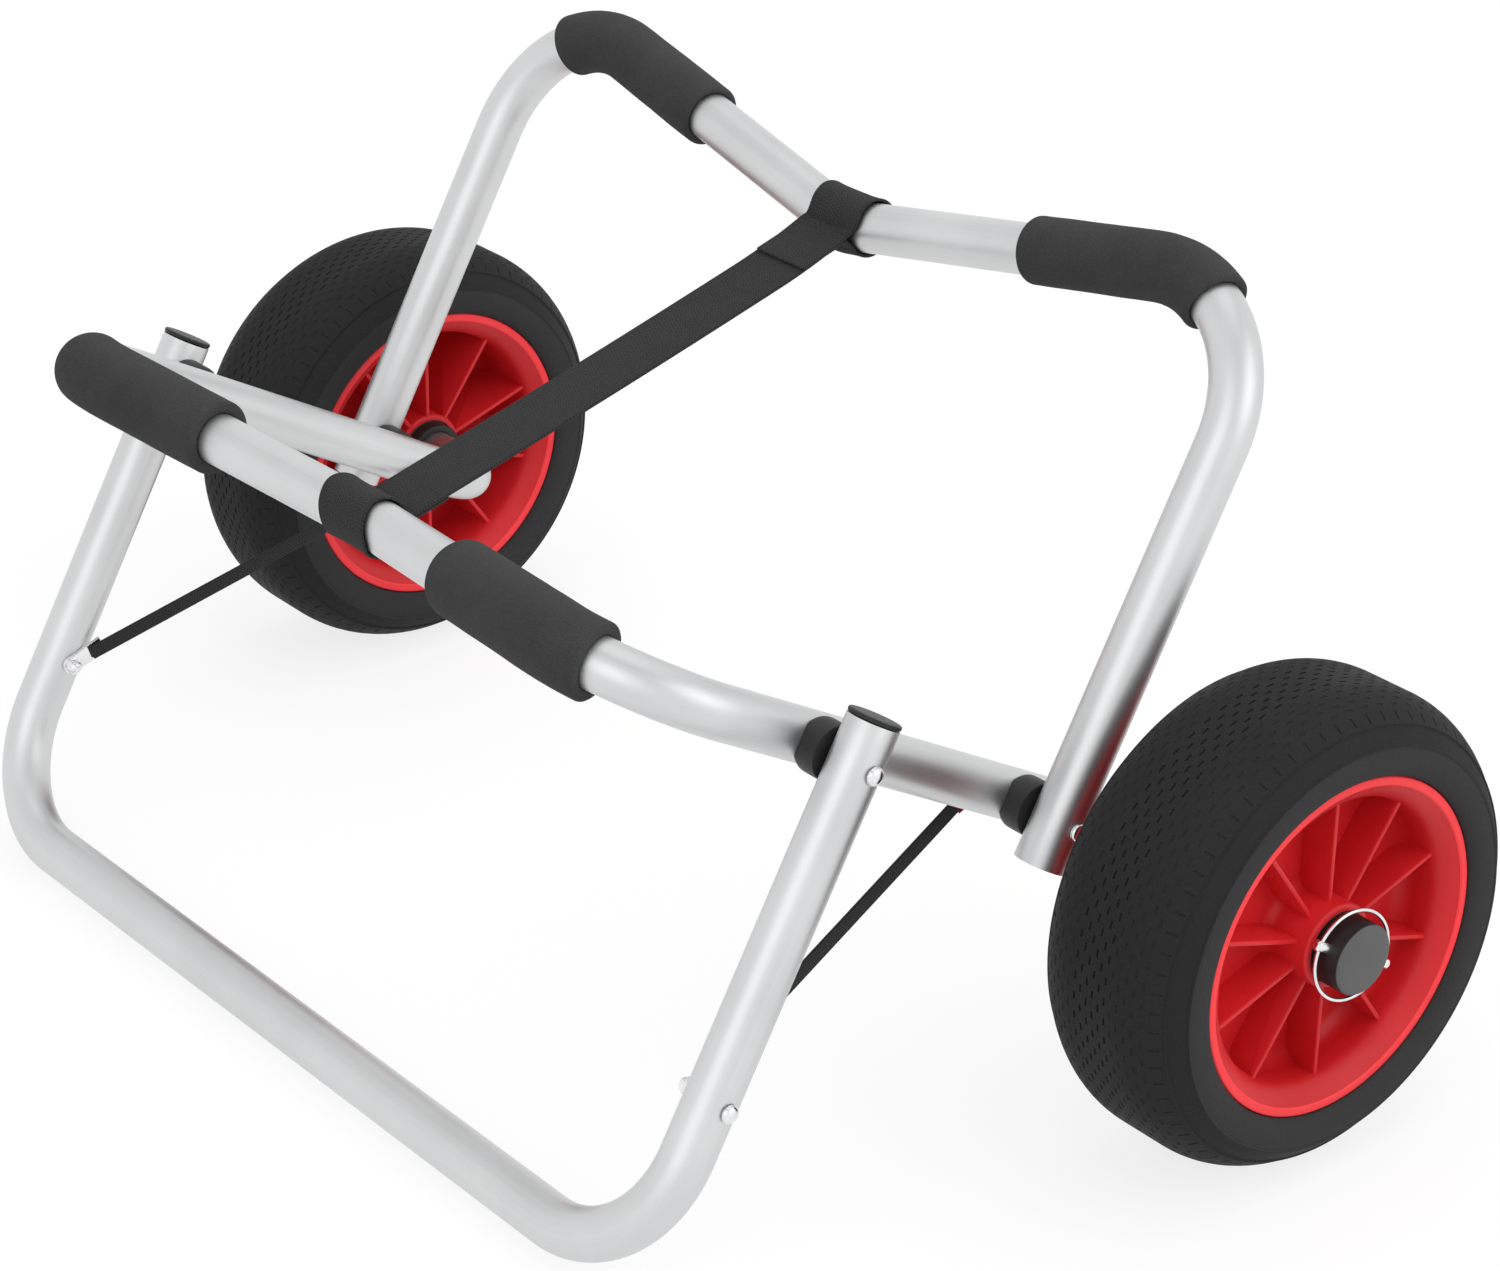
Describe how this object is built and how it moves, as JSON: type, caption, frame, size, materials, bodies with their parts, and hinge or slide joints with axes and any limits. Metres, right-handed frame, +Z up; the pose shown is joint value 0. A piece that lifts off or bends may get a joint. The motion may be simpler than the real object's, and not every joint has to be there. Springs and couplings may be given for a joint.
{
  "type": "kayak cart",
  "caption": "Folding cart for a small boat: two hinged saddle frames with foam pads, a kickstand and fat wheels on bent tube axles.",
  "frame": {"origin": "on the ground, under the middle of the cart's bounding box", "axes": "+X to the cart's right along the axle line, -Y towards the kickstand, +Z up"},
  "size_m": [0.8218, 0.4486, 0.3933],
  "materials": {
    "anodised_tube": "satin",
    "foam": "matte",
    "webbing": "matte",
    "tyre_rubber": "matte",
    "red_rim": "satin",
    "black_plastic": "satin",
    "chrome_hardware": "polished"
  },
  "bodies": {
    "front_frame": {"front_frame_tube": "anodised_tube", "front_pad_left": "foam", "front_pad_right": "foam", "rear_pivot_spacer_left": "black_plastic", "rear_pivot_spacer_right": "black_plastic", "kick_pivot_spacer_left": "black_plastic", "kick_pivot_spacer_right": "black_plastic", "rear_pivot_bolt_left": "chrome_hardware", "rear_pivot_bolt_right": "chrome_hardware", "rear_pivot_nut_left": "chrome_hardware", "rear_pivot_nut_right": "chrome_hardware", "kick_pivot_bolt_left": "chrome_hardware", "kick_pivot_bolt_right": "chrome_hardware", "kick_pivot_nut_left": "chrome_hardware", "kick_pivot_nut_right": "chrome_hardware", "upper_strap_tab_left": "chrome_hardware", "upper_strap_tab_right": "chrome_hardware", "axle_collar_left": "black_plastic", "axle_collar_right": "black_plastic", "axle_end_cap_left": "black_plastic", "axle_end_cap_right": "black_plastic", "lock_pin_left": "chrome_hardware", "lock_pin_right": "chrome_hardware", "saddle_strap": "webbing", "kick_strap_left": "webbing", "kick_strap_right": "webbing"},
    "rear_frame": {"rear_frame_tube": "anodised_tube", "rear_pad_left": "foam", "rear_pad_right": "foam"},
    "kickstand": {"kickstand_tube": "anodised_tube", "kickstand_cap_left": "black_plastic", "kickstand_cap_right": "black_plastic", "kick_strap_bolt_left": "chrome_hardware", "kick_strap_bolt_right": "chrome_hardware", "kick_strap_nut_left": "chrome_hardware", "kick_strap_nut_right": "chrome_hardware", "lower_strap_tab_left": "chrome_hardware", "lower_strap_tab_right": "chrome_hardware"},
    "wheel_left": {"tyre_left": "tyre_rubber", "rim_left": "red_rim", "outer_bush_left": "black_plastic", "inner_bush_left": "black_plastic"},
    "wheel_right": {"tyre_right": "tyre_rubber", "rim_right": "red_rim", "outer_bush_right": "black_plastic", "inner_bush_right": "black_plastic"},
    "pin_ring_left": {"lock_ring_left": "chrome_hardware"},
    "pin_ring_right": {"lock_ring_right": "chrome_hardware"}
  },
  "joints": [
    {"name": "rear_frame_fold", "type": "hinge", "parent": "front_frame", "child": "rear_frame", "pos_m": [0, 0.03738, 0.1581], "axis": [1, 0, 0], "range_deg": [0, 73], "deforming": ["saddle_strap"]},
    {"name": "kickstand_fold", "type": "hinge", "parent": "front_frame", "child": "kickstand", "pos_m": [0, -0.08647, 0.2296], "axis": [1, 0, 0], "range_deg": [0, 73], "deforming": ["kick_strap_left", "kick_strap_right"]},
    {"name": "left_wheel_spin", "type": "hinge", "parent": "front_frame", "child": "wheel_left", "pos_m": [-0.35565, 0.10579, 0.1186], "axis": [1, 0, 0], "continuous": true},
    {"name": "right_wheel_spin", "type": "hinge", "parent": "front_frame", "child": "wheel_right", "pos_m": [0.35565, 0.10579, 0.1186], "axis": [1, 0, 0], "continuous": true},
    {"name": "left_lock_ring_swing", "type": "hinge", "parent": "front_frame", "child": "pin_ring_left", "pos_m": [-0.4029, 0.08457, 0.13085], "axis": [0, 0.5, 0.866], "range_deg": [0, 110]},
    {"name": "right_lock_ring_swing", "type": "hinge", "parent": "front_frame", "child": "pin_ring_right", "pos_m": [0.4029, 0.08457, 0.13085], "axis": [0, -0.5, -0.866], "range_deg": [0, 110]}
  ]
}
